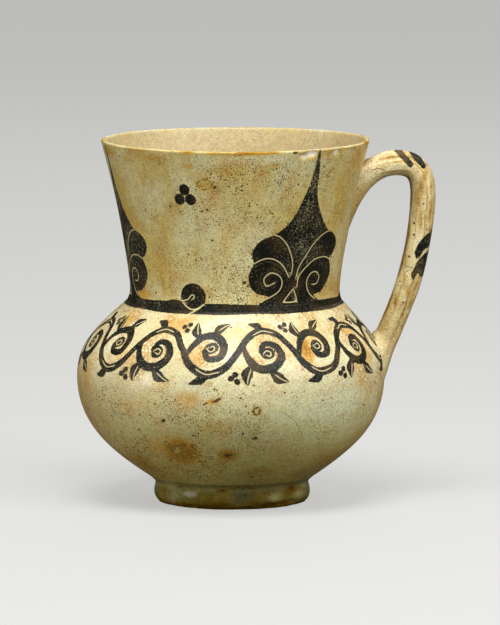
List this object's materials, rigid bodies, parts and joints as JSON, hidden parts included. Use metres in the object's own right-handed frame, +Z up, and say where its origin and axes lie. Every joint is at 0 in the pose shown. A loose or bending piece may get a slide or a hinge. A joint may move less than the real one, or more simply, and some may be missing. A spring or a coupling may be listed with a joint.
{
  "type": "ewer",
  "caption": "Round-bellied earthenware ewer with a low disc foot, a wide flared neck and one ribbed strap handle, for holding and pouring water or wine.",
  "frame": {"origin": "centre of the flat underside of the foot", "axes": "+Z up the vessel's axis towards the mouth, +X towards the handle"},
  "size_m": [0.1682, 0.146, 0.17],
  "materials": {
    "foot_glaze": "thin worn glaze over buff clay, stained brown",
    "belly_glaze": "clear crackled glaze over ivory slip with dark slip painting",
    "neck_glaze": "clear crackled glaze over ivory slip with dark slip painting",
    "handle_glaze": "clear glaze over ivory slip, worn along the ribs",
    "bare_clay": "matte fired buff clay"
  },
  "bodies": {
    "root": {"foot_disc": "foot_glaze", "foot_coil": "foot_glaze", "lower_bowl": "belly_glaze", "belly_coil": "bare_clay", "shoulder": "belly_glaze", "neck_coil": "bare_clay", "neck": "neck_glaze", "handle_strap": "handle_glaze", "upper_root_coil": "handle_glaze", "lower_root_coil": "handle_glaze"}
  },
  "joints": []
}
